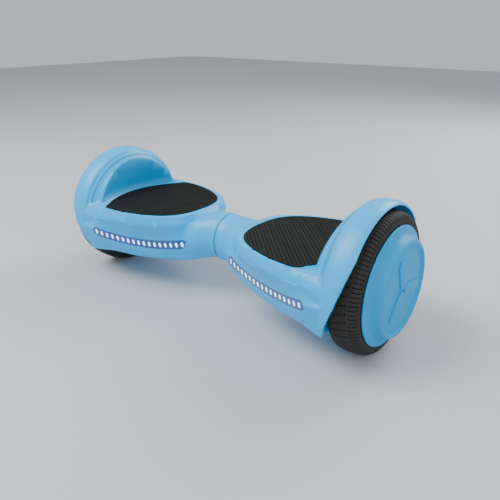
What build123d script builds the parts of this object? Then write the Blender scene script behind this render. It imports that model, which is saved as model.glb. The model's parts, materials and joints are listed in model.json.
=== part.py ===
"""Self balancing board: two twisting halves on two hub-motor wheels.

Frame: millimetres, +Z up, X along the wheel axis, front (light strips) at -Y.
The origin lies on the floor, under the centre of the neck.
Every paired piece is drawn for the right half (+X) and mirrored for the left.
"""
from build123d import *
import math
import os

os.makedirs("parts", exist_ok=True)

# ---------------------------------------------------------------- driving sizes
TYRE_R = 82.5            # outside radius of the tyre
TYRE_X = 196.0           # inner side of the tyre
TYRE_W = 36.0            # width of the tyre
NECK_R = 32.0            # radius of the round neck
AXIS_Z = TYRE_R          # height of the wheel axis and of the twist axis
WALL = 3.0               # wall of the moulded covers
SEAM_Z = 58.0            # height of the joint between top and bottom cover
KEEL_Z = 42.5            # height of the flat underside
FIT = 0.1                # gap around a piece set in a cover
RUN = 0.04               # radial clearance of a running fit
GAP = 0.3                # gap between bodies that move apart

# platform and foot pad
DECK_Z = 112.0           # top of the platform border
LIP_Z = 100.0            # widest level of the platform
PLATFORM_Z = 78.0        # level where the platform grows out of the hull
PAD_TOP = 113.0
PAD_T = 3.4
PAD_TRAVEL = 1.2
PAD_GAP = 0.4            # gap around the pad
PAD_FLOOR = PAD_TOP - PAD_T - PAD_TRAVEL - GAP
PAD_FLOOR_T = 2.5
PAD_APEX = 188.0         # outermost point of the pad
PLUNGER_X = 110.0
PLUNGER_Y = 36.0
PLUNGER_R = 5.0
SWITCH_H = 1.4
WELL_APEX = 189.5        # outermost point of the upright wall beside the pad
WELL_R = 200.0           # plan radius of that wall
WELL_LEAN = 9.0          # how far the wall leans in over its height
WELL_TALL = 90.0
PAD_END_R = 108.0        # plan radius of the pad's outer end

# fender
END_WALL_X = 193.5       # face of the end wall, beside the tyre
FENDER_R = 92.5
FENDER_EDGE_X = 223.0
FENDER_T = 4.5

# twist joint
TUBE_R = 12.0
TUBE_BORE = 9.0
HOUSING_R = 20.0
HOUSING_END = 64.0
BUSH_R = 15.0
BUSH_L = 12.0
BUSH_FLANGE = 1.5
BUSH_RIM = 3.0           # how far the flange stands out from the bush
BUSH_START = 3.0
CIRCLIP_X = (HOUSING_END + BUSH_FLANGE + 0.3, HOUSING_END + BUSH_FLANGE + 1.7)
FACE_GAP = 1.0           # half of the gap between the two covers at the neck
TWIST = 10.0             # twist to each side, degrees
PIN_R = 2.5
PIN_X = 34.0
PIN_TOP = 19.0           # radius reached by the limit pin

# wheel and motor
AXLE_R = 8.0
AXLE_IN = 150.0
AXLE_OUT = 229.0
BEARING_R = 16.0
BEARING_W = 8.0
DRUM_R = 66.0
DRUM_T = 11.0
MOTOR_COVER_T = 3.0
MOTOR_COVER_IN = 197.5
MOTOR_COVER_OUT = 228.0
MAGNETS = 20
MAGNET_T = 3.0
AIR_GAP = 1.4
TEETH = 18
CORE_X = (208.0, 221.0)
CAP_R = 69.0
CAP_X = 231.5
CAP_FACE_X = 245.5
CAP_RIM_X = 247.0
RELIEF = 1.2             # height of the relief on the hub cap

# chassis
PLATE_Z = 48.0
PLATE_T = 4.0
PLATE_X = (70.0, 186.0)
BLOCK_X = (150.0, 186.0)
BLOCK_Y = 21.0
CLAMP_T = 17.0
BOARD_T = 1.6
SENSOR_Z = 92.0

# fasteners
COVER_SCREW_R = 1.5
COVER_SCREWS = ((78, 30), (112, 40), (172, 54))
COVER_BOSS_R = 4.5
CLAMP_SCREW_R = 2.5
CLAMP_SCREWS = ((157, 14.5), (179, 14.5))
MOTOR_SCREWS = 6
MOTOR_SCREW_R = 1.5
MOTOR_SCREW_PCD = 60.0
SENSOR_POSTS = ((82, 36), (138, 44))
POST_R = 3.5

# battery, boards and leads
BATTERY_X = (86.0, 132.0)
BATTERY_Y = 32.0
BATTERY_TOP = 82.0
STRAP_T = 1.0
MAIN_X = (86.0, 140.0)
MAIN_Y = 32.0
MAIN_Z = 58.0
MAIN_POSTS = ((90, 28), (136, 28))
LEAD_R = 2.2
SLEEVE_R = 4.5
SLEEVE_END = 70.0

# charge socket and power button, on the rear face
REAR_SLOPE = 17.0        # plan angle of the hull's side
REAR_TILT = 12.0         # how far the rear face looks down
SOCKET_X = 104.0
BUTTON_X = 136.0
REAR_Z = 70.0
SOCKET_R = 7.0
SOCKET_BORE = 5.5
CHARGE_CAP_R = 9.5
CHARGE_CAP_T = 2.2
CHARGE_CAP_OUT = 0.4     # gap between the socket and its cap
HINGE_DOWN = CHARGE_CAP_R + 0.6
HINGE_OUT = CHARGE_CAP_OUT + CHARGE_CAP_T / 2
HINGE_PIN_R = 0.6
KNUCKLE_X = 4.2
EAR_X = (4.6, 6.4)
EAR_R = 1.5
BUTTON_R = 5.0
BUTTON_TRAVEL = 1.0
LAMP_PLACE = (32.0, 10.0)
LAMP_R = 2.0

# light strip
LEDS = 17
LED_FIRST_X = 42.6
LED_LAST_X = 170.6
LED_SIZE = (3.2, 6.8)
STRIP_H = 6.6            # half height of the lens
LENS_T = 2.2
LED_DEPTH = 4.0
STRIP_BOARD_T = 1.2


# ---------------------------------------------------------------- small helpers
def box(x, y, z):
    """Box between pairs of limits along X, Y and Z."""
    size = [b - a for a, b in (x, y, z)]
    mid = [(a + b) / 2 for a, b in (x, y, z)]
    return Pos(*mid) * Box(*size)


def rod(x0, x1, r, y=0.0, z=AXIS_Z):
    """Cylinder along X."""
    return Pos((x0 + x1) / 2, y, z) * Rot(0, 90, 0) * Cylinder(r, x1 - x0)


def post(x, y, z0, z1, r):
    """Upright cylinder."""
    return Pos(x, y, (z0 + z1) / 2) * Cylinder(r, z1 - z0)


def turned(points):
    """Solid of revolution about the wheel axis from (x, radius) points."""
    outline = Polyline(*[(x, 0, AXIS_Z + r) for x, r in points], close=True)
    return revolve(make_face(outline), Axis((0, 0, AXIS_Z), (1, 0, 0)))


def ring(x0, x1, r0, r1):
    """Ring about the wheel axis."""
    return rod(x0, x1, r1) - rod(x0 - 1, x1 + 1, r0)


def about_axle(piece, degrees):
    """Turn a piece about the wheel axis."""
    return piece.rotate(Axis((0, 0, AXIS_Z), (1, 0, 0)), degrees)


def group(pieces):
    """Several separate solids in one node."""
    return Compound(children=[s for p in pieces for s in p.solids()])


# ---------------------------------------------------------------- hull
class Station:
    """One cross-section of the hull, given on its +Y side as (y, z) points."""

    def __init__(self, x, crown, shoulder, belt, corner, keel, bulge):
        self.x = x
        self.crown = crown
        self.points = (shoulder, belt, corner, keel)
        self.bulge = bulge

    def wire(self, inset):
        """Closed wire, moved inwards by inset."""
        ways = ((-0.55, -0.85), (-1, 0), (-0.85, 0.5), (-0.4, 1))
        right = [(y + dy * inset, z + dz * inset) for (y, z), (dy, dz) in zip(self.points, ways)]
        edges = []
        for (a, b), bulge in zip(zip(right, right[1:]), self.bulge):
            edges.append((a, self.middle(a, b, bulge), b))
        left = [tuple((-y, z) for y, z in reversed(e)) for e in reversed(edges)]
        shoulder = right[0]
        keel = right[-1]
        top = ((-shoulder[0], shoulder[1]), (0, self.crown - inset), shoulder)
        keel_mid = keel[1] - self.bulge[-1] * keel[0] * 2
        bottom = (keel, (0, keel_mid), (-keel[0], keel[1]))
        arcs = [top] + edges + [bottom] + left
        return Wire([ThreePointArc(*[(self.x, y, z) for y, z in arc]) for arc in arcs])

    @staticmethod
    def middle(a, b, bulge):
        """Middle of the arc from a to b; bulge is its rise over its chord."""
        return ((a[0] + b[0]) / 2 + (a[1] - b[1]) * bulge, (a[1] + b[1]) / 2 + (b[0] - a[0]) * bulge)


def neck_station(x, r):
    """Round section of the neck."""
    angles = [math.radians(a) for a in (55, 0, -45, -72)]
    points = [(r * math.cos(a), AXIS_Z + r * math.sin(a)) for a in angles]
    rise = [math.tan((a - b) / 4) / 2 for a, b in zip(angles, angles[1:])]
    rise.append(math.tan((math.pi + 2 * angles[-1]) / 4) / 2)
    return Station(x, AXIS_Z + r, *points, rise)


SIDE = (-0.02, 0.03, 0.12, 0.004)
STATIONS = [
    neck_station(0, NECK_R),
    neck_station(13, NECK_R - 0.5),
    Station(30, 109.0, (26, 105), (41, 80), (34, 60), (20, 50.5), (0.08, 0.1, 0.13, 0.02)),
    Station(52, 105.5, (44, 100), (51.6, 77), (45.5, 56.5), (35, 46), (0.02, 0.03, 0.12, 0.004)),
    Station(82, 104.0, (72.5, 99), (61.2, 75), (55.5, 54), (46, 43), SIDE),
    Station(112, 104.0, (82, 99), (70.6, 75), (65, 53), (55, 41.5), SIDE),
    Station(142, 104.0, (87.2, 99), (80, 76), (73, 52), (62, 41.5), SIDE),
    Station(171, 104.0, (89.3, 99), (89, 78), (80, 51), (70, 41.5), SIDE),
    Station(200, 104.5, (88.3, 99.5), (90.3, 82), (83, 51), (76, 41.5), (0.02, 0.04, 0.12, 0.004)),
]


def hull(inset=0.0, start=FACE_GAP):
    """Solid hull of one half, moved inwards by inset."""
    body = Solid.make_loft([s.wire(inset) for s in STATIONS])
    keel = KEEL_Z + inset
    return body & box((start, 210), (-120, 120), (keel, 130))


# ---------------------------------------------------------------- platform
LOW_LINE = [(46, 0), (48, 26), (56, 42), (80, 55), (110, 65), (140, 74), (165, 82), (200, 87)]
LIP_LINE = [(37, 0), (40, 29), (50, 52), (70, 68.5), (105, 81), (135, 87), (162, 89.5), (200, 88.7)]
DECK_LINE = [(39.5, 0), (42, 26), (50, 45), (66, 59.5), (100, 75), (130, 81.5), (160, 83), (200, 80.5)]
PAD_LINE = [(49.5, 0), (51.5, 23), (57.5, 39.5), (69, 53), (98, 69), (126, 77), (150, 78.5)]


def moved_in(points, inset):
    """Points of a half outline moved inwards, square to the line."""
    result = []
    for i, (x, y) in enumerate(points):
        ahead = points[min(i + 1, len(points) - 1)]
        behind = points[i - 1] if i else (ahead[0], -ahead[1])
        dx = ahead[0] - behind[0]
        dy = ahead[1] - behind[1]
        length = math.hypot(dx, dy)
        result.append((x + dy / length * inset, y - dx / length * inset))
    return result


def plan_face(points, z, inset=0.0):
    """Closed plan outline: a smooth line round the neck end and a straight outer end."""
    half = moved_in(points, inset)
    line = [(x, y, z) for x, y in reversed(half)] + [(x, -y, z) for x, y in half[1:]]
    side = Spline(*line)
    return make_face([side, Line(line[-1], line[0])])


def platform(inset=0.0):
    """Raised platform that carries the foot pad."""
    low = plan_face(LOW_LINE, PLATFORM_Z, inset)
    lip = plan_face(LIP_LINE, LIP_Z, inset)
    deck = plan_face(DECK_LINE, DECK_Z - inset, inset)
    return loft([low, lip], ruled=True) + loft([lip, deck], ruled=True)


def pad_face(z, inset=0.0):
    """Plan outline of the foot pad; its outer end is an arc beside the fender."""
    half = moved_in(PAD_LINE, inset)
    line = [(x, y, z) for x, y in reversed(half)] + [(x, -y, z) for x, y in half[1:]]
    apex = PAD_APEX - inset
    end_y = 68.0 - inset
    end_x = apex - PAD_END_R + math.sqrt(PAD_END_R ** 2 - end_y ** 2)
    side = Spline(*line)
    front = line[-1]
    front_corner = Spline(front, (front[0] + 11, front[1] + 3.5, z), (end_x, -end_y, z))
    end = ThreePointArc((end_x, -end_y, z), (apex, 0, z), (end_x, end_y, z))
    back = line[0]
    back_corner = Spline((end_x, end_y, z), (back[0] + 11, back[1] - 3.5, z), back)
    return make_face([side, front_corner, end, back_corner])


def well(inset=0.0):
    """Space above the platform, in front of the fender's upright wall."""
    floor = DECK_Z - inset
    disc = Cone(WELL_R, WELL_R - WELL_LEAN, WELL_TALL)
    disc = Pos(WELL_APEX + inset - WELL_R, 0, floor + WELL_TALL / 2) * disc
    return (disc & box((20, 230), (-110, 110), (0, 230))) + box((20, 130), (-110, 110), (floor, floor + WELL_TALL))


# ---------------------------------------------------------------- fender
def fender_block(inset=0.0):
    """Drum and crown around the wheel's inner side, as one solid of revolution."""
    cone = [(150 - inset, 0), (150 - inset, 66 - inset), (187 - inset, 80 - inset)]
    shoulder = [(191, 85.5 - inset), (196, 90 - inset), (202, FENDER_R - 0.5 - inset)]
    crown = [(209, FENDER_R - inset), (217, FENDER_R - inset), (221, FENDER_R - 1.0 - inset)]
    edge = [(FENDER_EDGE_X, FENDER_R - 3.0 - inset), (FENDER_EDGE_X, 0)]
    return turned(cone + shoulder + crown + edge)


def wheel_space():
    """Room for the wheel, and everything the fender leaves uncovered."""
    inner = FENDER_R - FENDER_T
    drum = rod(END_WALL_X, 260, inner)
    slant = [(FENDER_EDGE_X, -130, 134), (217, -130, 107), (208, -130, 78), (197.5, -130, 51), (194.5, -130, 40)]
    frame = Polyline(slant[-1], (260, -130, 40), (260, -130, 134), slant[0])
    side = extrude(make_face([Spline(*slant), frame]), 260, (0, 1, 0))
    return drum + side


def half_body(inset=0.0):
    """Outer form of one half, or its inside when inset is the wall."""
    start = FACE_GAP if inset == 0 else -10
    body = hull(inset, start) + platform(inset)
    if inset == 0:
        body = body + fender_block() - wheel_space()
    else:
        body = (body + fender_block(inset)) & box((start, END_WALL_X - inset), (-120, 120), (0, 200))
    body = body - well(inset)
    return body & box((start, 230), (-120, 120), (KEEL_Z + inset, 200))


OUTER = half_body()
INNER = half_body(WALL)


# ---------------------------------------------------------------- light strip
def led_place(i):
    """Centre of a lamp in the front view, as (x, z); the strip sags in the middle."""
    share = i / (LEDS - 1)
    x = LED_FIRST_X + (LED_LAST_X - LED_FIRST_X) * share
    return x, 68.6 + 7.2 * (2 * share - 0.98) ** 2


def strip_face(grow=0.0):
    """Front view of the lens: a sagging band with a round outer and a pointed inner end."""
    mids = [led_place(i) for i in (0, 4, 8, 12, 16)]
    half = STRIP_H + grow
    top = [(x, -120, z + half) for x, z in mids]
    low = [(x, -120, z - half) for x, z in reversed(mids)]
    x_in, z_in = mids[0]
    x_out, z_out = mids[-1]
    tip = (x_in - 6 - grow, -120, z_in + 5)
    outer = ThreePointArc(top[-1], (x_out + half, -120, z_out), low[0])
    return make_face([Spline(*top), outer, Spline(*low), Line(low[-1], tip), Line(tip, top[0])])


def lamp_face(i, grow=0.0):
    """Front view of one lamp: an upright oval."""
    x, z = led_place(i)
    place = Plane(origin=(x, -120, z), x_dir=(1, 0, 0), z_dir=(0, 1, 0))
    return place * Ellipse(LED_SIZE[0] / 2 + grow, LED_SIZE[1] / 2 + grow)


def towards_back(face):
    """Prism from in front of the board to its middle."""
    return extrude(face, 100, (0, 1, 0))


def light_strip():
    """Lens with a window for each lamp, the lamps, and the board behind them."""
    outer = hull()
    below_lens = hull(LENS_T)
    below_lamps = hull(LED_DEPTH)
    below_board = hull(LED_DEPTH + STRIP_BOARD_T)
    lens = (towards_back(strip_face()) & outer) - below_lens
    lamps = []
    for i in range(LEDS):
        lens = lens - towards_back(lamp_face(i, FIT))
        lamps.append((towards_back(lamp_face(i)) & outer) - below_lamps)
    board = (towards_back(strip_face(-1.0)) & below_lamps) - below_board
    return {"light_lens": lens, "light_lamps": group(lamps), "light_board": board}


# ---------------------------------------------------------------- covers
def rear_place(x, out=0.0):
    """Plane on the rear face at x: its normal points out of the board, its y down."""
    slope = math.radians(REAR_SLOPE)
    tilt = math.radians(REAR_TILT)
    y = 69.1 + (x - 110.0) * math.tan(slope)
    along = Vector(math.cos(slope), math.sin(slope), 0)
    normal = Vector(-math.sin(slope) * math.cos(tilt), math.cos(slope) * math.cos(tilt), -math.sin(tilt))
    return Plane(origin=Vector(x, y, REAR_Z) + normal * out, x_dir=along, z_dir=normal)


def rear_rod(x, inside, outside, r):
    """Cylinder through the rear face, between two distances along its normal."""
    return extrude(rear_place(x, inside) * Circle(r), outside - inside)


def hinge_rod(x0, x1, r):
    """Cylinder on the hinge axis of the charge cap, between two distances from its middle."""
    face = rear_place(SOCKET_X, HINGE_OUT)
    start = face.from_local_coords((x0, HINGE_DOWN, 0))
    return extrude(Plane(origin=start, z_dir=face.x_dir) * Circle(r), x1 - x0)


def hinge_ears():
    """Two ears on the cover that hold the pin of the charge cap."""
    ears = []
    for side in (-1, 1):
        x0, x1 = sorted((side * EAR_X[0], side * EAR_X[1]))
        foot = rear_place(SOCKET_X, -1.5) * Pos((x0 + x1) / 2, HINGE_DOWN) * Rectangle(x1 - x0, EAR_R * 2)
        ear = hinge_rod(x0, x1, EAR_R) + extrude(foot, HINGE_OUT + 1.5)
        ears.append(ear - hinge_rod(x0 - 1, x1 + 1, HINGE_PIN_R + FIT))
    return ears


def foot_pad():
    """Rubber mat with two plungers that reach down to the foot switches."""
    bottom = PAD_TOP - PAD_T
    mat = extrude(pad_face(bottom), PAD_T)
    tip = SENSOR_Z + BOARD_T + SWITCH_H + PAD_TRAVEL + GAP
    for y in (-PLUNGER_Y, PLUNGER_Y):
        mat = mat + post(PLUNGER_X, y, tip, bottom + 0.5, PLUNGER_R)
    return mat


def covers(has_ports):
    """Top and bottom cover of one half."""
    floor = extrude(pad_face(PAD_FLOOR - PAD_FLOOR_T, -PAD_GAP - WALL), PAD_FLOOR_T)
    rim = extrude(pad_face(PAD_FLOOR, -PAD_GAP - WALL), DECK_Z - WALL - PAD_FLOOR)
    shell = OUTER - INNER + ((floor + rim) & OUTER)
    shell = shell - extrude(pad_face(PAD_FLOOR, -PAD_GAP), 10)
    for y in (-PLUNGER_Y, PLUNGER_Y):
        shell = shell - post(PLUNGER_X, y, PAD_FLOOR - 10, PAD_FLOOR + 1, PLUNGER_R + PAD_GAP)
    window = towards_back(strip_face(FIT)) & box((25, 190), (-120, -20), (50, 95))
    shell = shell - window - rod(END_WALL_X - 10, END_WALL_X + 1, AXLE_R + 1)
    top = shell & box((0, 230), (-120, 120), (SEAM_Z, 200))
    bottom = shell & box((0, 230), (-120, 120), (0, SEAM_Z))
    for x, y in both_sides(COVER_SCREWS):
        bottom = bottom + post(x, y, KEEL_Z + 1, PLATE_Z, COVER_BOSS_R)
        bottom = bottom - post(x, y, 0, 60, COVER_SCREW_R + FIT)
        bottom = bottom - post(x, y, 0, KEEL_Z + 2, COVER_SCREW_R * 2 + FIT)
    if has_ports:
        top = top - rear_rod(SOCKET_X, CHARGE_CAP_OUT - 0.2, 12, CHARGE_CAP_R + GAP)
        for ear in hinge_ears():
            top = top + ear
        top = top - rear_rod(SOCKET_X, -12, 12, SOCKET_R + FIT)
        top = top - rear_rod(BUTTON_X, -12, 12, BUTTON_R + GAP)
    else:
        x, y = LAMP_PLACE
        top = top - post(x, y, AXIS_Z, 130, LAMP_R + FIT)
    return top, bottom


def both_sides(places):
    """Each (x, y) place and its mirror image in Y."""
    return [(x, s * y) for x, y in places for s in (-1, 1)]


def cover_screws():
    """Screws from below through the bottom cover into the chassis."""
    screws = []
    for x, y in both_sides(COVER_SCREWS):
        head = post(x, y, KEEL_Z + 0.4, KEEL_Z + 2, COVER_SCREW_R * 2)
        screws.append(head + post(x, y, KEEL_Z + 2, PLATE_Z + PLATE_T, COVER_SCREW_R))
    return group(screws)


# ---------------------------------------------------------------- chassis
def chassis(bore, start):
    """Cast frame: base plate, ribs, axle block, and the housing of the twist joint."""
    x0, x1 = PLATE_X
    outline = Polyline((x0, -36), (x1, -62), (x1, 62), (x0, 36), close=True)
    body = Pos(0, 0, PLATE_Z) * extrude(make_face(outline), PLATE_T)
    body = body + box((HOUSING_END - 6, x0 + 6), (-14, 14), (PLATE_Z + 6, AXIS_Z))
    body = body + box((x0, x0 + 10), (-30, 30), (PLATE_Z, PLATE_Z + 12))
    body = body + box(BLOCK_X, (-BLOCK_Y, BLOCK_Y), (PLATE_Z, AXIS_Z - FIT / 2))
    for side in (-1, 1):
        rib = sorted((side * 25, side * 28))
        body = body + box((BLOCK_X[0] + 6, x1), rib, (PLATE_Z, PLATE_Z + 18))
        rail = sorted((side * 33, side * 36))
        body = body + box((x0, BLOCK_X[0] - 8), rail, (PLATE_Z, PLATE_Z + 9))
    body = body + rod(start, HOUSING_END, HOUSING_R) - rod(start - 1, HOUSING_END + 1, bore)
    body = body - rod(HOUSING_END, x0 + 20, BUSH_R + BUSH_RIM + GAP)
    for x, y in both_sides(SENSOR_POSTS):
        body = body + post(x, y, PLATE_Z, SENSOR_Z, POST_R)
    body = body - rod(BLOCK_X[0] - 1, BLOCK_X[1] + 1, AXLE_R)
    for x, y in both_sides(CLAMP_SCREWS):
        body = body - post(x, y, PLATE_Z + 8, AXIS_Z + 1, CLAMP_SCREW_R)
    for x, y in both_sides(COVER_SCREWS):
        body = body - post(x, y, PLATE_Z - 1, PLATE_Z + PLATE_T + 1, COVER_SCREW_R)
    return body


def axle_clamp():
    """Cap that holds the axle down on its block."""
    cap = box(BLOCK_X, (-BLOCK_Y, BLOCK_Y), (AXIS_Z + FIT / 2, AXIS_Z + CLAMP_T))
    cap = cap - rod(BLOCK_X[0] - 1, BLOCK_X[1] + 1, AXLE_R)
    for x, y in both_sides(CLAMP_SCREWS):
        cap = cap - post(x, y, AXIS_Z - 1, AXIS_Z + CLAMP_T + 1, CLAMP_SCREW_R)
    return cap


def clamp_screws():
    """Hexagon socket screws of the axle clamp."""
    screws = []
    top = AXIS_Z + CLAMP_T
    for x, y in both_sides(CLAMP_SCREWS):
        screw = post(x, y, PLATE_Z + 9, top, CLAMP_SCREW_R) + post(x, y, top, top + 3, CLAMP_SCREW_R * 1.7)
        screws.append(screw - post(x, y, top + 1.5, top + 4, CLAMP_SCREW_R * 0.7))
    return group(screws)


def sensor_board():
    """Gyro and foot-switch board on the chassis posts."""
    board = box((72, 148), (-50, 50), (SENSOR_Z, SENSOR_Z + BOARD_T))
    top = SENSOR_Z + BOARD_T
    for y in (-PLUNGER_Y, PLUNGER_Y):
        switch = box((PLUNGER_X - 5, PLUNGER_X + 5), (y - 5, y + 5), (top, top + SWITCH_H))
        board = board + switch
    return board + box((85, 92), (-4, 4), (top, top + 1.2)) + box((128, 140), (-8, 8), (top, top + 4))


# ---------------------------------------------------------------- wheel and motor
def axle():
    """Steel axle, held in the chassis, that carries the stator."""
    return rod(AXLE_IN, AXLE_OUT, AXLE_R) - box((AXLE_IN - 1, AXLE_IN + 8), (-9, 9), (AXIS_Z + 6, 120))


def tooth_box(r0, r1, width, x0, x1):
    """Straight block on the top of the motor's circle."""
    return box((x0, x1), (-width / 2, width / 2), (AXIS_Z + r0, AXIS_Z + r1))


def stator():
    """Laminated core with wound teeth."""
    x0, x1 = CORE_X
    outside = DRUM_R - DRUM_T - MAGNET_T - AIR_GAP
    core = ring(x0, x1, AXLE_R, 29)
    for i in range(TEETH):
        tooth = tooth_box(28, outside - 1.5, 4.0, x0, x1) + tooth_box(outside - 3, outside - 0.6, 12, x0, x1)
        core = core + about_axle(tooth, i * 360 / TEETH)
    return core & rod(x0, x1, outside)


def windings():
    """One copper coil around each tooth."""
    coil = tooth_box(31, 46, 8.2, CORE_X[0] - 3, CORE_X[1] + 3)
    coil = coil - tooth_box(30, 47, 4.2, CORE_X[0] - 0.1, CORE_X[1] + 0.1)
    return group([about_axle(coil, i * 360 / TEETH) for i in range(TEETH)])


def magnets():
    """Permanent magnets glued inside the drum."""
    r1 = DRUM_R - DRUM_T
    r0 = r1 - MAGNET_T
    face = make_face(Polyline(*[(x, 0, AXIS_Z + r) for x, r in ((206, r0), (223, r0), (223, r1), (206, r1))],
                              close=True))
    span = 360 / MAGNETS - 1.5
    magnet = revolve(face, Axis((0, 0, AXIS_Z), (1, 0, 0)), span)
    return group([about_axle(magnet, i * 360 / MAGNETS) for i in range(MAGNETS)])


def motor_cover(x0, boss_side):
    """Round side cover of the motor with a bearing seat."""
    x1 = x0 + MOTOR_COVER_T
    boss = (x0, x0 + BEARING_W + 2) if boss_side > 0 else (x1 - BEARING_W - 2, x1)
    seat = (boss[0] + 1, boss[1] + 1) if boss_side > 0 else (boss[0] - 1, boss[1] - 1)
    cover = ring(x0, x1, AXLE_R + 1, DRUM_R - 1) + ring(boss[0], boss[1], AXLE_R + 1, BEARING_R + 4)
    cover = cover - rod(seat[0], seat[1], BEARING_R)
    return cover - motor_screw_holes(x0 - 1, x1 + 1)


def motor_screw_holes(x0, x1):
    """Holes for the motor cover screws."""
    hole = rod(x0, x1, MOTOR_SCREW_R, 0, AXIS_Z + MOTOR_SCREW_PCD)
    return group([about_axle(hole, (i + 0.5) * 360 / MOTOR_SCREWS) for i in range(MOTOR_SCREWS)])


def bearing(x0):
    """Ball bearing, drawn as one ring that runs on the axle."""
    seal = ring(x0 - 1, x0 + 0.4, AXLE_R + 2.5, BEARING_R - 2.5)
    seal = seal + ring(x0 + BEARING_W - 0.4, x0 + BEARING_W + 1, AXLE_R + 2.5, BEARING_R - 2.5)
    return ring(x0, x0 + BEARING_W, AXLE_R + RUN, BEARING_R) - seal


def motor_screws():
    """Countersunk screws of both motor covers."""
    screws = []
    inner = MOTOR_COVER_IN
    outer = MOTOR_COVER_OUT + MOTOR_COVER_T
    for start, end in ((inner, inner + 9), (outer - 9, outer)):
        for i in range(MOTOR_SCREWS):
            screw = rod(start, end, MOTOR_SCREW_R, 0, AXIS_Z + MOTOR_SCREW_PCD)
            screws.append(about_axle(screw, (i + 0.5) * 360 / MOTOR_SCREWS))
    return group(screws)


def tyre():
    """Solid rubber tyre; the crown runs on the floor."""
    x0 = TYRE_X
    x1 = TYRE_X + TYRE_W
    r0 = DRUM_R
    profile = [(x0 + 2, r0), (x0, 68), (x0, TYRE_R - 9), (x0 + 1.5, TYRE_R - 3.5), (x0 + 5, TYRE_R - 0.8)]
    profile += [(x0 + 9, TYRE_R), (x1 - 11, TYRE_R), (x1 - 6, TYRE_R - 1), (x1 - 2, TYRE_R - 3.5)]
    profile += [(x1, TYRE_R - 8), (x1, 71), (x1 - 2, r0)]
    return turned(profile)


def drum():
    """Steel and aluminium drum of the rotor, which is also the rim."""
    body = ring(MOTOR_COVER_IN + MOTOR_COVER_T, MOTOR_COVER_OUT, DRUM_R - DRUM_T, DRUM_R)
    return body - motor_screw_holes(MOTOR_COVER_IN, MOTOR_COVER_OUT + MOTOR_COVER_T)


def hub_cap():
    """Dished cap over the outer motor cover, with a raised plain three-arm relief."""
    x = CAP_X
    face = CAP_FACE_X
    rim = CAP_RIM_X
    profile = [(x, 50), (x, CAP_R - 1), (x + 1, CAP_R), (x + 2, CAP_R), (x + 3, CAP_R - 1.5), (x + 4, 60)]
    profile += [(rim - 3, 56), (rim - 1, 55), (rim, 53.5), (rim, 51.5), (face - 0.5, 50)]
    profile += [(face - 0.5, 48.5), (face, 48), (face, 40), (face - 3, 40), (face - 3, 42), (face - 5, 46)]
    cap = turned(profile) + rod(face - 3, face, 40)
    relief = Circle(9)
    for i in range(3):
        relief = relief + Rot(0, 0, i * 120) * Pos(0, 20) * SlotOverall(34, 9, rotation=90)
    place = Plane(origin=(face - 1, 0, AXIS_Z), x_dir=(0, 1, 0), z_dir=(1, 0, 0))
    return cap + extrude(place * relief, 1 + RELIEF)


# ---------------------------------------------------------------- twist joint
def limit_slot():
    """Slot in the right housing; its sides stop the limit pin."""
    half = PIN_TOP * math.sin(math.radians(TWIST)) + PIN_R + GAP
    span = (PIN_X - PIN_R - GAP, PIN_X + PIN_R + GAP)
    return box(span, (-half, half), (AXIS_Z + BUSH_R - 2, AXIS_Z + HOUSING_R + 2))


def twist_tube():
    """Steel tube fixed in the left chassis; the right half turns on it."""
    end = HOUSING_END + 6
    tube = ring(-HOUSING_END + 2, end, TUBE_BORE, TUBE_R)
    groove = ring(CIRCLIP_X[0], CIRCLIP_X[1], TUBE_R - 1, TUBE_R + 1)
    return tube - groove - post(PIN_X, 0, AXIS_Z, AXIS_Z + TUBE_R + 1, PIN_R)


def bushes():
    """Two flanged bushes in the right housing."""
    pair = []
    for sleeve, flange in (((BUSH_START, BUSH_START + BUSH_L), (BUSH_START - BUSH_FLANGE, BUSH_START)),
                           ((HOUSING_END - BUSH_L, HOUSING_END), (HOUSING_END, HOUSING_END + BUSH_FLANGE))):
        bush = rod(sleeve[0], sleeve[1], BUSH_R) + rod(flange[0], flange[1], BUSH_R + BUSH_RIM)
        pair.append(bush - rod(0, HOUSING_END + 5, TUBE_R + RUN))
    return group(pair)


def circlip():
    """Open retaining ring in the groove of the tube."""
    clip = ring(CIRCLIP_X[0], CIRCLIP_X[1], TUBE_R - 1, TUBE_R + 2.5)
    return clip - box((HOUSING_END, HOUSING_END + 6), (-3, 3), (AXIS_Z - 20, AXIS_Z))


def limit_pin():
    """Pin across the tube's wall that stops the twist."""
    pin = post(PIN_X, 0, AXIS_Z + TUBE_BORE, AXIS_Z + PIN_TOP, PIN_R)
    return pin & rod(PIN_X - 5, PIN_X + 5, PIN_TOP)


def neck_ring():
    """Seal between the two covers at the neck."""
    return ring(-FACE_GAP, FACE_GAP - GAP, NECK_R - WALL - 0.5, NECK_R - 0.8)


# ---------------------------------------------------------------- inside pieces
def battery():
    """Battery pack on the left chassis."""
    return box(BATTERY_X, (-BATTERY_Y, BATTERY_Y), (PLATE_Z + PLATE_T, BATTERY_TOP))


def battery_strap():
    """Bent strap over the battery."""
    x0, x1 = BATTERY_X
    span = (x0 + 14, x1 - 14)
    wide = BATTERY_Y + STRAP_T
    outside = box(span, (-wide, wide), (PLATE_Z + PLATE_T, BATTERY_TOP + STRAP_T))
    return outside - box((x0, x1), (-BATTERY_Y, BATTERY_Y), (0, BATTERY_TOP))


def main_board():
    """Motor controller with its heat sink, capacitors and connectors."""
    top = MAIN_Z + BOARD_T
    x0, x1 = MAIN_X
    board = box(MAIN_X, (-MAIN_Y, MAIN_Y), (MAIN_Z, top))
    for i in range(5):
        fin = x0 + 14 + i * 5
        board = board + box((fin, fin + 2), (-28, -12), (top, top + 14))
    board = board + box((x0 + 14, x0 + 36), (-28, -12), (top, top + 3))
    for x in (x0 + 18, x0 + 32):
        board = board + post(x, 22, top, top + 20, 6)
    for span in ((x0 + 6, x0 + 16), (x1 - 12, x1 - 2)):
        board = board + box(span, (-6, 6), (top, top + 6))
    return board


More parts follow.
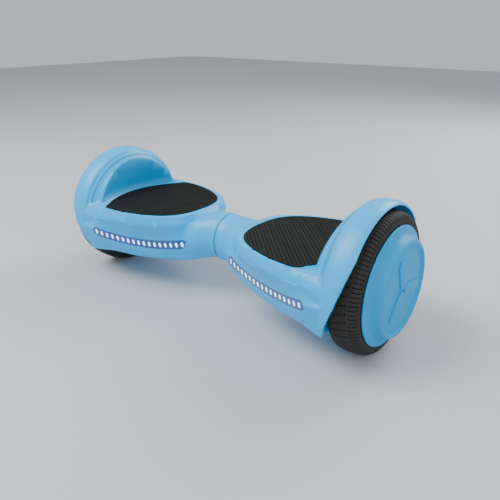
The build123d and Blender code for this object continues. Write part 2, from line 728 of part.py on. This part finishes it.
def lead(points, radii, r):
    """Round lead along straight runs joined by arcs."""
    path = FilletPolyline(*points, radius=radii)
    start = Plane(origin=path @ 0, z_dir=path % 0)
    return sweep(start * Circle(r), path)


def leads():
    """Leads held inside the halves; the sleeve in the tube lies on the twist axis."""
    side = SLEEVE_R - LEAD_R
    end = SLEEVE_END
    top = MAIN_Z + BOARD_T
    sleeve = [(-end, 0, AXIS_Z), (end, 0, AXIS_Z), (end + 18, 0, AXIS_Z - 8), (MAIN_X[0] + 11, 0, top + 3)]
    over = BATTERY_TOP + STRAP_T + LEAD_R + 1
    motor = [(-AXLE_IN, 0, AXIS_Z), (-AXLE_IN + 7, 0, AXIS_Z), (-AXLE_IN + 19, 0, over)]
    motor += [(-BATTERY_X[0] - 8, 0, over), (-end - 6, side, AXIS_Z), (-end, side, AXIS_Z)]
    pack = [(-end, -side, AXIS_Z), (-end - 6, -side, AXIS_Z), (-BATTERY_X[0] - 1, -side, AXIS_Z - 7)]
    right = [(AXLE_IN, 0, AXIS_Z), (AXLE_IN - 6, 0, AXIS_Z), (MAIN_X[1] - 4, 0, top + 4)]
    return {
        "centre_harness": lead(sleeve, [40, 22], SLEEVE_R),
        "left_motor_lead": lead(motor, [12, 12, 12, 12], LEAD_R),
        "battery_lead": lead(pack, [8], LEAD_R),
        "right_motor_lead": lead(right, [6], LEAD_R),
    }


# ---------------------------------------------------------------- ports
def charge_socket():
    """Round charge socket with three pins, through the rear face."""
    body = rear_rod(SOCKET_X, -12, 0.2, SOCKET_R) - rear_rod(SOCKET_X, -8, 1, SOCKET_BORE)
    for i in range(3):
        angle = math.radians(90 + 120 * i)
        place = rear_place(SOCKET_X, -9) * Pos(3 * math.cos(angle), 3 * math.sin(angle))
        body = body + extrude(place * Circle(0.8), 6)
    return body


def charge_cap():
    """Rubber cap over the socket, with a pin along its bottom edge."""
    cap = rear_rod(SOCKET_X, CHARGE_CAP_OUT, CHARGE_CAP_OUT + CHARGE_CAP_T, CHARGE_CAP_R)
    web = rear_place(SOCKET_X, CHARGE_CAP_OUT) * Pos(0, HINGE_DOWN - 1) * Rectangle(2 * KNUCKLE_X, 2)
    cap = cap + extrude(web, CHARGE_CAP_T) + hinge_rod(-KNUCKLE_X, KNUCKLE_X, CHARGE_CAP_T / 2)
    return cap + hinge_rod(-EAR_X[1], EAR_X[1], HINGE_PIN_R)


def power_button():
    """Push button on the rear face."""
    button = rear_rod(BUTTON_X, -7, 1.4, BUTTON_R)
    return button - rear_rod(BUTTON_X, 1.0, 2, BUTTON_R - 2)


def status_lamp():
    """Small lamp in the top of the left neck, drawn on the right."""
    x, y = LAMP_PLACE
    return (post(x, y, AXIS_Z, 130, LAMP_R) & hull(0.2)) - hull(6)


# ---------------------------------------------------------------- nodes
def mirrored(piece):
    """The same piece on the left half."""
    return mirror(piece, about=Plane.YZ)


def right_chassis():
    """Right frame: bush bores, limit slot and posts for the main board."""
    body = chassis(BUSH_R, BUSH_START) - limit_slot()
    for x, y in both_sides(MAIN_POSTS):
        body = body + post(x, y, PLATE_Z + 1, MAIN_Z, POST_R)
    return body


def paired_pieces():
    """Pieces that both halves have alike."""
    outer_seat = MOTOR_COVER_OUT + MOTOR_COVER_T - 2 - BEARING_W
    pieces = {
        "cover_screws": cover_screws(),
        "axle_clamp": axle_clamp(),
        "clamp_screws": clamp_screws(),
        "sensor_board": sensor_board(),
        "foot_pad": foot_pad(),
        "axle": axle(),
        "stator": stator(),
        "windings": windings(),
        "tyre": tyre(),
        "drum": drum(),
        "magnets": magnets(),
        "inner_motor_cover": motor_cover(MOTOR_COVER_IN, 1),
        "outer_motor_cover": motor_cover(MOTOR_COVER_OUT, -1),
        "bearings": group([bearing(MOTOR_COVER_IN + 2), bearing(outer_seat)]),
        "motor_screws": motor_screws(),
        "hub_cap": hub_cap(),
    }
    pieces.update(light_strip())
    return pieces


nodes = {}
for piece, solid in paired_pieces().items():
    nodes["right_" + piece] = solid
    nodes["left_" + piece] = mirrored(solid)
nodes["right_top_cover"], nodes["right_bottom_cover"] = covers(True)
nodes["left_top_cover"], nodes["left_bottom_cover"] = [mirrored(c) for c in covers(False)]
nodes["right_chassis"] = right_chassis()
nodes["left_chassis"] = mirrored(chassis(TUBE_R, GAP - BUSH_START + BUSH_FLANGE))
nodes["twist_tube"] = twist_tube()
nodes["twist_bushes"] = bushes()
nodes["twist_circlip"] = circlip()
nodes["limit_pin"] = limit_pin()
nodes["neck_ring"] = neck_ring()
nodes["battery_pack"] = mirrored(battery())
nodes["battery_strap"] = mirrored(battery_strap())
nodes["main_board"] = main_board()
nodes["charge_socket"] = charge_socket()
nodes["charge_cap"] = charge_cap()
nodes["power_button"] = power_button()
nodes["status_lamp"] = mirrored(status_lamp())
nodes.update(leads())

for name, solid in nodes.items():
    export_step(solid, f"parts/{name}.step")
print(len(nodes), "nodes")
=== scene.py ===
# %% [markdown]
# # A self balancing board, piece by piece
#
# The board has two halves that twist against each other at a round neck. Each half
# carries a foot platform, a round fender and a wheel with its motor inside the hub.
# The lesson keeps the mechanical model as it is and gives every surface the look of
# the real material. Where a plain solid is too simple, such as a tyre without tread,
# a detailed mesh takes its place.

# %% Load the mechanical model
import json
import math
import bmesh
import bpy
from mathutils import Matrix, Vector


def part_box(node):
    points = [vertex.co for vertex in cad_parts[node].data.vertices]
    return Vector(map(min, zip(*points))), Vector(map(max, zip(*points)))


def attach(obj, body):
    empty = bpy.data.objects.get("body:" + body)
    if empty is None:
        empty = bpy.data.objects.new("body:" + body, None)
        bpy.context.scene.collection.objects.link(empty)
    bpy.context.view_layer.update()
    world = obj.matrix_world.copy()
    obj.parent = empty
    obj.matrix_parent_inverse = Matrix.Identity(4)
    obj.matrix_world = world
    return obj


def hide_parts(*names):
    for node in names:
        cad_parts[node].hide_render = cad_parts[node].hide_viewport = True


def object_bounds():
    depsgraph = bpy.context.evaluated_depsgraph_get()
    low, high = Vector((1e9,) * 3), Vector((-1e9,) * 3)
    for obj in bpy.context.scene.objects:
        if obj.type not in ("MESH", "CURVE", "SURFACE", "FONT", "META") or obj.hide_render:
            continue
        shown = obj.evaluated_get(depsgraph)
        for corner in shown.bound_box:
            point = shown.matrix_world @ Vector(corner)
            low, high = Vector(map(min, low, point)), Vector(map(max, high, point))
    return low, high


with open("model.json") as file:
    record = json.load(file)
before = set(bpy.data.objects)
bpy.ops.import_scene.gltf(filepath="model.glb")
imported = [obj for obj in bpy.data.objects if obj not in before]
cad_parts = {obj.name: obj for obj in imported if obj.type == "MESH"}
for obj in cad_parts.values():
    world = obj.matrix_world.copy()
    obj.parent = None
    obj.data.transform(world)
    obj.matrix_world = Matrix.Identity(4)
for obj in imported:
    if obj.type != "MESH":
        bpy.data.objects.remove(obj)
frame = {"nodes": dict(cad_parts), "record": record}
nodes = frame["nodes"]
start_box = [list(corner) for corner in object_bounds()]
low, high = [Vector(corner) for corner in start_box]
print("nodes", len(nodes), "size", [round(v, 4) for v in high - low])

# %% [markdown]
# ## Camera, floor and light
#
# The floor is one large pale plane. A wide soft lamp from the upper left does most of
# the work, a weaker one fills the right side, and a third draws a bright line along
# the top edges. Area lamps are used because their large size makes soft shadows.

# %% Camera
EYE = Vector((0.434, -0.500, 0.347))
TURN = math.radians(38.6)
TILT = math.radians(23.2)
LENS_MM = 38.3
SENSOR_MM = 36.0

camera_data = bpy.data.cameras.new("camera")
camera_data.lens = LENS_MM
camera_data.sensor_width = SENSOR_MM
camera = bpy.data.objects.new("camera", camera_data)
camera.location = EYE
camera.rotation_euler = (math.pi / 2 - TILT, 0, TURN)
bpy.context.scene.collection.objects.link(camera)
bpy.context.scene.camera = camera
print("camera at", [round(v, 3) for v in EYE])


# %% Floor
def link(name, mesh):
    """New object with this mesh, at the origin."""
    piece = bpy.data.objects.new(name, mesh)
    bpy.context.scene.collection.objects.link(piece)
    return piece


def mesh_from(bm, name):
    """Turn a bmesh into a mesh object with outward faces."""
    bmesh.ops.recalc_face_normals(bm, faces=bm.faces)
    mesh = bpy.data.meshes.new(name)
    bm.to_mesh(mesh)
    bm.free()
    return link(name, mesh)


FLOOR_HALF = 4.0
FLOOR_GAP = 0.0002

bm = bmesh.new()
bmesh.ops.create_grid(bm, x_segments=1, y_segments=1, size=FLOOR_HALF)
floor = mesh_from(bm, "floor")
floor.location.z = low.z - FLOOR_GAP
print("floor", FLOOR_HALF * 2, "m wide")


# %% Lamps
def area_lamp(name, place, aim, size, power, tint=(1, 1, 1)):
    """Soft lamp at place that points at aim."""
    data = bpy.data.lights.new(name, "AREA")
    data.shape = "DISK"
    data.size = size
    data.energy = power
    data.color = tint
    lamp = bpy.data.objects.new(name, data)
    lamp.location = place
    beam = Vector(aim) - Vector(place)
    lamp.rotation_euler = beam.to_track_quat("-Z", "Y").to_euler()
    bpy.context.scene.collection.objects.link(lamp)


SKY_COLOUR = (0.80, 0.84, 0.88, 1)
SKY_STRENGTH = 0.7

centre = (low + high) / 2
area_lamp("key", (-0.9, -0.9, 1.7), centre, 1.4, 44)
area_lamp("fill", (1.6, -0.7, 0.9), centre, 1.6, 16, (0.93, 0.97, 1.0))
area_lamp("back", (0.3, 1.6, 1.2), centre, 1.2, 24)
world = bpy.data.worlds.new("studio")
world.use_nodes = True
sky = world.node_tree.nodes["Background"]
sky.inputs["Color"].default_value = SKY_COLOUR
sky.inputs["Strength"].default_value = SKY_STRENGTH
bpy.context.scene.world = world
print("lamps", len(bpy.data.lights))

# %% [markdown]
# ## Shared surface effects
#
# Most finishes need the same three things: a fine grain that catches the light, a slow
# change of gloss, and a slight change of colour. They are built once, as one node
# group, and get their own numbers in every material.


# %% Group helpers
def new_group(name, sockets_in, sockets_out):
    """Empty node group with number inputs and outputs of the given kinds."""
    group = bpy.data.node_groups.new(name, "ShaderNodeTree")
    for label, value in sockets_in.items():
        socket = group.interface.new_socket(
            label, in_out="INPUT", socket_type="NodeSocketFloat")
        socket.default_value = value
    for label, kind in sockets_out.items():
        group.interface.new_socket(label, in_out="OUTPUT", socket_type=kind)
    return group, group.nodes.new("NodeGroupInput"), group.nodes.new("NodeGroupOutput")


def add(tree, kind, **values):
    """Add a node; values set its properties and its named inputs."""
    node = tree.nodes.new(kind)
    for key, value in values.items():
        label = key.replace("_", " ")
        if label in node.inputs:
            node.inputs[label].default_value = value
        else:
            setattr(node, key, value)
    return node


# %% Group for grain and slow variation
# Noise seldom leaves the middle of its range, so only that part is spread out.
NOISE_LOW, NOISE_HIGH = 0.3, 0.7

grain, grain_in, grain_out = new_group(
    "grain_and_variation",
    {"Grain scale": 900.0, "Slow scale": 14.0, "Low": 0.3, "High": 0.4},
    {"Height": "NodeSocketFloat", "Roughness": "NodeSocketFloat", "Mask": "NodeSocketFloat"},
)
where = add(grain, "ShaderNodeTexCoord")
fine = add(grain, "ShaderNodeTexNoise", Detail=3.0, Roughness=0.6)
slow = add(grain, "ShaderNodeTexNoise", Detail=4.0, Roughness=0.5)
spread = add(grain, "ShaderNodeMapRange")
grain.links.new(where.outputs["Object"], fine.inputs["Vector"])
grain.links.new(where.outputs["Object"], slow.inputs["Vector"])
grain.links.new(grain_in.outputs["Grain scale"], fine.inputs["Scale"])
grain.links.new(grain_in.outputs["Slow scale"], slow.inputs["Scale"])
grain.links.new(slow.outputs["Fac"], spread.inputs["Value"])
grain.links.new(grain_in.outputs["Low"], spread.inputs["To Min"])
grain.links.new(grain_in.outputs["High"], spread.inputs["To Max"])
spread.inputs["From Min"].default_value = NOISE_LOW
spread.inputs["From Max"].default_value = NOISE_HIGH
grain.links.new(fine.outputs["Fac"], grain_out.inputs["Height"])
grain.links.new(spread.outputs["Result"], grain_out.inputs["Roughness"])
grain.links.new(slow.outputs["Fac"], grain_out.inputs["Mask"])
print("group", grain.name, "with", len(grain.nodes), "nodes")


# %% One function for a finish with grain
# A Mix node has sockets of one name for every kind of data, so the colour ones are
# picked by number.
MIX_FACTOR, MIX_FIRST, MIX_SECOND = 0, 6, 7
MIX_RESULT = 2
COAT_ROUGHNESS = 0.12
GRAIN_HEIGHT = 0.0001


def finish(name, colour, second, rough, metallic=0.0, coat=0.0,
           grain_scale=900.0, bump=0.15, slow_scale=14.0, gloss=0.5):
    """Material whose colour drifts between two tones, with grain and uneven gloss."""
    material = bpy.data.materials.new(name)
    material.use_nodes = True
    tree = material.node_tree
    shader = tree.nodes["Principled BSDF"]
    shader.inputs["Metallic"].default_value = metallic
    shader.inputs["Coat Weight"].default_value = coat
    shader.inputs["Specular IOR Level"].default_value = gloss
    shader.inputs["Coat Roughness"].default_value = COAT_ROUGHNESS
    surface = add(tree, "ShaderNodeGroup", node_tree=grain)
    surface.inputs["Grain scale"].default_value = grain_scale
    surface.inputs["Slow scale"].default_value = slow_scale
    surface.inputs["Low"].default_value = rough[0]
    surface.inputs["High"].default_value = rough[1]
    tint = add(tree, "ShaderNodeMix", data_type="RGBA")
    tint.inputs[MIX_FIRST].default_value = (*colour, 1)
    tint.inputs[MIX_SECOND].default_value = (*second, 1)
    relief = add(tree, "ShaderNodeBump", Strength=bump, Distance=GRAIN_HEIGHT)
    tree.links.new(surface.outputs["Mask"], tint.inputs[MIX_FACTOR])
    tree.links.new(tint.outputs[MIX_RESULT], shader.inputs["Base Color"])
    tree.links.new(surface.outputs["Roughness"], shader.inputs["Roughness"])
    tree.links.new(surface.outputs["Height"], relief.inputs["Height"])
    tree.links.new(relief.outputs["Normal"], shader.inputs["Normal"])
    return material


# %% [markdown]
# ## Finishes
#
# The covers are moulded plastic with a soft gloss, in a light sky blue. The hub caps and
# the upright walls beside the pads are the same plastic; they face away from the key lamp,
# so their shade is painted in as a deeper blue. Rubber is dark, never fully black, and
# rough. Metals keep a high metallic value and get their character from roughness.

# %% Plastics and rubbers
looks = {}
looks["shell_blue"] = finish(
    "shell_blue", (0.002, 0.44, 0.92), (0.004, 0.46, 0.93), (0.34, 0.42),
    coat=0.08, bump=0.05, gloss=0.35)
# deep_blue is the shell plastic with painted shade: a darker copy for the walls and hub caps
# that face away from the key lamp.
looks["deep_blue"] = finish(
    "deep_blue", (0.0, 0.30, 0.62), (0.0, 0.32, 0.65), (0.40, 0.48), bump=0.05, gloss=0.22)
looks["lens_blue"] = finish(
    "lens_blue", (0.0, 0.085, 0.38), (0.0, 0.10, 0.42), (0.10, 0.16), coat=0.8, bump=0.02)
looks["pad_black"] = finish(
    "pad_black", (0.0030, 0.0038, 0.0030), (0.0050, 0.0060, 0.0050), (0.62, 0.76),
    bump=0.4, gloss=0.2)
looks["tyre_black"] = finish(
    "tyre_black", (0.017, 0.015, 0.014), (0.027, 0.025, 0.022), (0.62, 0.8),
    bump=0.5, gloss=0.3)
# seal_teal is painted shadow: the shell blue as it looks in shade, for the dark line in the
# fender groove.
looks["seal_teal"] = finish("seal_teal", (0.0, 0.16, 0.22), (0.0, 0.19, 0.25), (0.5, 0.6))
looks["black_plastic"] = finish(
    "black_plastic", (0.012, 0.012, 0.013), (0.02, 0.02, 0.022), (0.4, 0.5), bump=0.3)
looks["button_grey"] = finish(
    "button_grey", (0.20, 0.22, 0.24), (0.24, 0.26, 0.28), (0.35, 0.45))
looks["lead_black"] = finish(
    "lead_black", (0.015, 0.015, 0.016), (0.025, 0.025, 0.026), (0.5, 0.62), bump=0.3)
looks["pack_wrap"] = finish(
    "pack_wrap", (0.01, 0.08, 0.35), (0.015, 0.10, 0.40), (0.2, 0.34), coat=0.3)

# %% Metals and boards
looks["cast_alloy"] = finish(
    "cast_alloy", (0.50, 0.51, 0.53), (0.60, 0.61, 0.62), (0.42, 0.6), 1.0,
    grain_scale=500, bump=0.6)
looks["steel"] = finish("steel", (0.50, 0.51, 0.53), (0.58, 0.59, 0.60), (0.2, 0.34), 1.0)
looks["zinc_steel"] = finish(
    "zinc_steel", (0.60, 0.61, 0.60), (0.68, 0.67, 0.62), (0.25, 0.4), 1.0)
looks["copper"] = finish(
    "copper", (0.60, 0.22, 0.08), (0.72, 0.32, 0.13), (0.25, 0.38), 1.0, grain_scale=1500)
looks["lamination"] = finish(
    "lamination", (0.20, 0.20, 0.22), (0.27, 0.27, 0.28), (0.4, 0.55), 0.9)
looks["magnet"] = finish("magnet", (0.58, 0.58, 0.60), (0.66, 0.66, 0.67), (0.15, 0.28), 1.0)
looks["bronze"] = finish("bronze", (0.42, 0.26, 0.10), (0.52, 0.34, 0.15), (0.35, 0.5), 1.0)
looks["board_green"] = finish(
    "board_green", (0.01, 0.12, 0.04), (0.015, 0.17, 0.06), (0.25, 0.4), coat=0.4)


# %% Glowing lamps and the floor
def glowing(name, colour, strength):
    """Frosted window that glows, a little brighter in places."""
    material = finish(name, colour, (0.9, 1.0, 1.0), (0.3, 0.4), slow_scale=60.0)
    tree = material.node_tree
    shader = tree.nodes["Principled BSDF"]
    tint = [n for n in tree.nodes if n.type == "MIX"][0]
    tree.links.new(tint.outputs[MIX_RESULT], shader.inputs["Emission Color"])
    shader.inputs["Emission Strength"].default_value = strength
    return material


looks["lamp_white"] = glowing("lamp_white", (0.55, 0.88, 1.0), 1.6)
floor.data.materials.append(finish(
    "floor_paint", (0.50, 0.52, 0.54), (0.54, 0.56, 0.58), (0.6, 0.8),
    grain_scale=200, bump=0.1, slow_scale=1.5))
print("finishes", len(looks))

# %% [markdown]
# ## Pieces that stay and pieces that are replaced
#
# Most mechanical pieces already have the right shape, so they only get the finish that
# the record names for them. The others are hidden, and a detailed mesh stands in. It
# rides on the same body, so it moves as the plain solid would.

# %% Give every mechanical piece its finish
slots = {part["node"]: part["material_slot"] for part in frame["record"]["subparts"]}
for name, piece in nodes.items():
    piece.data.materials.clear()
    piece.data.materials.append(looks[slots[name]])
print("pieces with a finish", len(slots))


# %% Helpers for pieces that take a plain solid's place
AXLE_Z = 0.0825
SIDES = (("right", 1), ("left", -1))
JOIN_LOOSE = 1e-6
JOIN_SEAM = 2e-5


def merged(node):
    """Editable copy of a mechanical piece with its loose triangles joined."""
    bm = bmesh.new()
    bm.from_mesh(nodes[node].data)
    bmesh.ops.remove_doubles(bm, verts=bm.verts, dist=JOIN_LOOSE)
    return bm


def stand_in(bm, name, node, body, slot, sharp=35, right_way=False):
    """Finish a detailed mesh, shade it smooth up to an angle, and let it replace a node.

    With right_way the faces already point outwards and are left as they are.
    """
    if right_way:
        mesh = bpy.data.meshes.new(name)
        bm.to_mesh(mesh)
        bm.free()
        piece = link(name, mesh)
    else:
        piece = mesh_from(bm, name)
    piece.data.shade_smooth()
    piece.data.set_sharp_from_angle(angle=math.radians(sharp))
    piece.data.materials.append(looks[slot])
    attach(piece, body)
    if node:
        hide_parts(node)
    print(name, "faces", len(piece.data.polygons))
    return piece


# %% [markdown]
# ## Covers
#
# Each half has a top and a bottom cover, moulded in one colour. The upright wall beside
# the foot pad faces away from the key lamp, and its shade is painted in as a deeper blue.
# The wall could be a separate skin, which would flicker against the cover. It is simpler to
# copy the cover and give the faces of the wall a second material, the painted shade. The
# painted shade then ends where those faces end.

# %% Covers with painted shade on the wall
DECK_TOP = 0.1123
WALL_FROM_X = 0.165
WALL_FACING = 0.88
WALL_LEAN = 0.15


# Faces picked here get the deep blue painted shade of the wall.
def gets_painted_shade(face, sign):
    """True for an upright face above the deck that looks towards the foot pad."""
    middle = face.calc_center_median()
    upright = face.normal.x * sign < -WALL_FACING and abs(face.normal.z) < WALL_LEAN
    return upright and middle.z > DECK_TOP and middle.x * sign > WALL_FROM_X


for side, sign in SIDES:
    for level in ("top", "bottom"):
        node = f"{side}_{level}_cover"
        bm = merged(node)
        wall = [f for f in bm.faces if gets_painted_shade(f, sign)]
        for face in wall:
            face.material_index = 1
        print(node, "wall faces", len(wall))
        cover = stand_in(
            bm, f"{side}_{level}_shell", node, f"{side}_half", "shell_blue",
            sharp=30, right_way=True)
        # The second material paints the shade of the wall in deep blue.
        cover.data.materials.append(looks["deep_blue"])

# %% [markdown]
# ## Groove on the fender
#
# A thin dark line runs over each fender, where its round shoulder meets the band around
# the wall. It is painted shadow: the shade in the groove is drawn as a round dark teal
# cord laid in the groove, made by turning a small ring about the wheel axis.

# %% Painted groove shadow over the fender
LINE_X = 0.1897
LINE_R = 0.0836
LINE_THICK = 0.00055
LINE_HALF_ANGLE = math.radians(72)
LINE_SIDES = 8
LINE_STEPS = 72


def turned_about_axle(bm, geom, angle, steps, **more):
    """Spin geometry about the wheel axis."""
    bmesh.ops.spin(
        bm, geom=geom, cent=(0, 0, AXLE_Z), axis=(1, 0, 0), dvec=(0, 0, 0),
        angle=angle, steps=steps, **more)


for side, sign in SIDES:
    bm = bmesh.new()
    start = Matrix.Rotation(-LINE_HALF_ANGLE, 4, "X") @ Matrix.Translation((0, 0, LINE_R))
    on_axle = Matrix.Translation((LINE_X * sign, 0, AXLE_Z))
    place = on_axle @ start @ Matrix.Rotation(math.pi / 2, 4, "X")
    bmesh.ops.create_circle(bm, segments=LINE_SIDES, radius=LINE_THICK, matrix=place)
    turned_about_axle(bm, bm.verts[:] + bm.edges[:], 2 * LINE_HALF_ANGLE, LINE_STEPS)
    bmesh.ops.holes_fill(bm, edges=bm.edges[:])
    # The dark cord is painted shadow for the groove.
    stand_in(bm, f"{side}_fender_groove_shadow", None, f"{side}_half", "seal_teal", sharp=60)

# %% [markdown]
# ## Ribbed foot pads
#
# The rubber mats have fine slanted ribs inside a plain border. A bump pattern would look
# flat from the side, so the ribs are cut into the mesh: the top becomes one face, its
# edge is rounded, a border is inset, slanted cuts divide the rest into strips, and every
# second strip is sunk.

# %% Pads
PAD_MIDDLE_X = 0.118
PAD_BORDER = 0.0022
PAD_EDGE_ROUND = 0.0007
RIB_PITCH = 0.0044
RIB_REACH = 0.16
GROOVE_DEPTH = 0.0008
GROOVE_TAPER = 0.0004
FLAT_UP = 0.99
SKIN = 0.0001


def crown_faces(bm, crown):
    """Flat faces at the height of the pad's top."""
    return [f for f in bm.faces
            if f.normal.z > FLAT_UP and f.calc_center_median().z > crown - SKIN]


def strip_number(face, across, first_cut):
    """Number of a strip between the slanted cuts."""
    return int((face.calc_center_median().dot(across) - first_cut) / (RIB_PITCH / 2))


for side, sign in SIDES:
    node = f"{side}_foot_pad"
    bm = merged(node)
    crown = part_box(node)[1][2]
    top = bmesh.ops.dissolve_faces(bm, faces=crown_faces(bm, crown))["region"][0]
    bmesh.ops.bevel(
        bm, geom=list(top.edges), offset=PAD_EDGE_ROUND, segments=3, profile=0.5,
        affect="EDGES", material=-1)
    top = max(crown_faces(bm, crown), key=lambda f: f.calc_area())
    bmesh.ops.inset_region(
        bm, faces=[top], thickness=PAD_BORDER, depth=0, use_even_offset=True)
    top.material_index = 1
    across = Vector((1, sign, 0)).normalized()
    for i in range(int(2 * RIB_REACH / RIB_PITCH) * 2):
        inner = [f for f in bm.faces if f.material_index == 1]
        rims = {e for f in inner for e in f.edges} | {v for f in inner for v in f.verts}
        offset = -RIB_REACH + i * RIB_PITCH / 2 + across.x * PAD_MIDDLE_X * sign
        bmesh.ops.bisect_plane(
            bm, geom=list(rims) + inner, dist=1e-7, plane_co=across * offset,
            plane_no=across)
    strips = [f for f in bm.faces if f.material_index == 1]
    first_cut = -RIB_REACH + across.x * PAD_MIDDLE_X * sign
    sunk = [f for f in strips if strip_number(f, across, first_cut) % 2]
    bmesh.ops.inset_individual(
        bm, faces=sunk, thickness=GROOVE_TAPER, depth=-GROOVE_DEPTH, use_even_offset=True)
    for face in bm.faces:
        face.material_index = 0
    stand_in(bm, f"{side}_ribbed_pad", node, f"{side}_pad", "pad_black", sharp=25)

# %% [markdown]
# ## Tyres
#
# A small solid tyre has a band of short slots on its shoulders and two rows of bent
# slots between them. One pitch of the tread is made by turning the profile through a
# small angle, the faces of the slots are sunk, and the finished tile is then repeated
# around the wheel. That keeps the pattern exact and the work small.

# %% Tyre with tread
PITCHES = 52
STEPS = 10
TILE = 2 * math.pi / PITCHES
SLOT_DEPTH = 0.0020
SLOT_TAPER = 0.00008
SLOTS_FROM_R = 0.0748
# The profile is a ring of points in mm: distance from the middle, then radius.
PROFILE = [(198, 66), (196.5, 67.3), (196, 69.5), (196, 73.5), (196.5, 76), (197.4, 78.2)]
PROFILE += [(198.6, 79.9), (200.4, 81.2), (202.4, 82.0), (204.0, 82.3), (204.9, 82.4)]
PROFILE += [(208, 82.5), (210.9, 82.5), (211.8, 82.5), (213.5, 82.5), (214.4, 82.48)]
PROFILE += [(217.3, 82.4), (220.2, 82.2), (221.1, 82.1), (223.2, 81.75), (225.6, 81.2)]
PROFILE += [(227.8, 80.2), (229.6, 78.9), (230.9, 77.0), (231.7, 74.9), (232, 72.5)]
PROFILE += [(231.5, 69.5), (230, 66)]
# Each slot: from and to in mm from the middle, then its steps of one pitch.
SLOTS = [(204.0, 204.9, (6, 7, 8)), (204.9, 210.9, (6,)), (210.9, 211.8, (4, 5, 6))]
SLOTS += [(213.5, 214.4, (3, 4, 5)), (214.4, 220.2, (3,)), (220.2, 221.1, (1, 2, 3))]
SLOTS += [(223.2, 231.7, (2, 7)), (197.4, 202.4, (2, 7))]


def in_slot(face, sign):
    """True where a face of the tile belongs to a slot."""
    middle = face.calc_center_median()
    x = middle.x * 1000 * sign
    step = int(math.atan2(-middle.y, middle.z - AXLE_Z) / TILE * STEPS)
    if math.hypot(middle.y, middle.z - AXLE_Z) < SLOTS_FROM_R:
        return False
    return any(x0 < x < x1 and step in steps for x0, x1, steps in SLOTS)


for side, sign in SIDES:
    bm = bmesh.new()
    line = [bm.verts.new((x * sign / 1000, 0, AXLE_Z + r / 1000)) for x, r in PROFILE]
    for a, b in zip(line, line[1:] + line[:1]):
        bm.edges.new((a, b))
    turned_about_axle(bm, bm.verts[:] + bm.edges[:], TILE, STEPS)
    bmesh.ops.recalc_face_normals(bm, faces=bm.faces)
    crown_face = max(bm.faces, key=lambda f: f.calc_center_median().z)
    if crown_face.normal.z < 0:
        bmesh.ops.reverse_faces(bm, faces=bm.faces)
    cells = [f for f in bm.faces if in_slot(f, sign)]
    bmesh.ops.inset_region(
        bm, faces=cells, thickness=SLOT_TAPER, depth=-SLOT_DEPTH, use_even_offset=True)
    tile = bm.verts[:] + bm.edges[:] + bm.faces[:]
    turned_about_axle(bm, tile, TILE * (PITCHES - 1), PITCHES - 1, use_duplicate=True)
    bmesh.ops.remove_doubles(bm, verts=bm.verts, dist=JOIN_SEAM)
    stand_in(
        bm, f"{side}_treaded_tyre", f"{side}_tyre", f"{side}_wheel", "tyre_black", sharp=40)

# %% [markdown]
# ## Hub caps
#
# The cap is a dish inside a rounded rim, with a plain three-arm relief in the middle. The
# dish is a turned profile. The arms are bars with round ends and soft edges that stand
# on the dish.

# %% Hub caps
DISH_X = 244.9
# The profile runs from the middle of the dish over the rim and back behind the dish, as
# distance from the middle of the board and radius, in mm.
CAP = [(DISH_X, 0.01), (DISH_X, 20), (DISH_X, 44), (DISH_X - 0.25, 46.8)]
CAP += [(DISH_X - 0.75, 48.2), (DISH_X - 0.6, 49.4), (DISH_X + 0.6, 50.4)]
CAP += [(DISH_X + 1.6, 51.4), (246.9, 52.4), (247, 53.3), (246.7, 54.4), (245.8, 55.4)]
CAP += [(244, 56.5), (241, 57.9), (238, 59.4), (236.4, 60.9), (235.4, 63), (235, 65.4)]
CAP += [(234.6, 67.2), (233.9, 68.4), (233, 69), (232.2, 68.9), (231.6, 68.2)]
CAP += [(231.5, 67), (231.5, 50), (240.5, 46), (242.5, 42), (242.5, 0.01)]
CAP_STEPS = 96
ARM_LENGTH, ARM_WIDTH, RELIEF = 0.038, 0.0125, 0.0019
ARM_MIDDLE_R = 0.021
ARM_FIRST = 20
ROUND_ENDS = 0.48
SOFT_EDGE = 0.6


def soft_bar(bm, place, length, width, height):
    """Bar with round ends and a soft upper edge, lying on its place's XY plane."""
    block = Matrix.Diagonal((length, width, height * 2, 1))
    made = bmesh.ops.create_cube(bm, size=1.0, matrix=block)
    own = set(made["verts"])
    upright = [e for e in bm.edges
               if e.verts[0] in own and abs(e.verts[0].co.z - e.verts[1].co.z) > height]
    ends = bmesh.ops.bevel(
        bm, geom=upright, offset=width * ROUND_ENDS, segments=8, profile=0.5,
        affect="EDGES", material=-1)
    own = {v for v in own if v.is_valid} | set(ends["verts"])
    rim = [e for e in bm.edges
           if e.verts[0] in own and e.verts[1] in own
           and min(v.co.z for v in e.verts) > height * 0.9]
    soft = bmesh.ops.bevel(
        bm, geom=rim, offset=height * SOFT_EDGE, segments=3, profile=0.5,
        affect="EDGES", material=-1)
    own = {v for v in own if v.is_valid} | set(soft["verts"])
    bmesh.ops.transform(bm, matrix=place, verts=list(own))


for side, sign in SIDES:
    bm = bmesh.new()
    dish = Matrix.Translation((DISH_X / 1000 * sign, 0, AXLE_Z))
    outwards = Matrix.Translation((0, 0, ARM_MIDDLE_R))
    lay = Matrix.Rotation(math.pi / 2 * sign, 4, "Y")
    for i in range(3):
        turn = Matrix.Rotation(math.radians(120 * i + ARM_FIRST), 4, "X")
        soft_bar(bm, dish @ turn @ outwards @ lay, ARM_LENGTH, ARM_WIDTH, RELIEF)
    line = [bm.verts.new((x * sign / 1000, 0, AXLE_Z + r / 1000)) for x, r in CAP]
    edges = [bm.edges.new(pair) for pair in zip(line, line[1:])]
    turned_about_axle(bm, line + edges, 2 * math.pi, CAP_STEPS, use_merge=True)
    bmesh.ops.remove_doubles(bm, verts=bm.verts, dist=JOIN_SEAM)
    # The cap takes deep_blue: the shell plastic with its shade painted in, as it faces away
    # from the key lamp.
    stand_in(
        bm, f"{side}_dished_cap", f"{side}_hub_cap", f"{side}_wheel", "deep_blue", sharp=35)
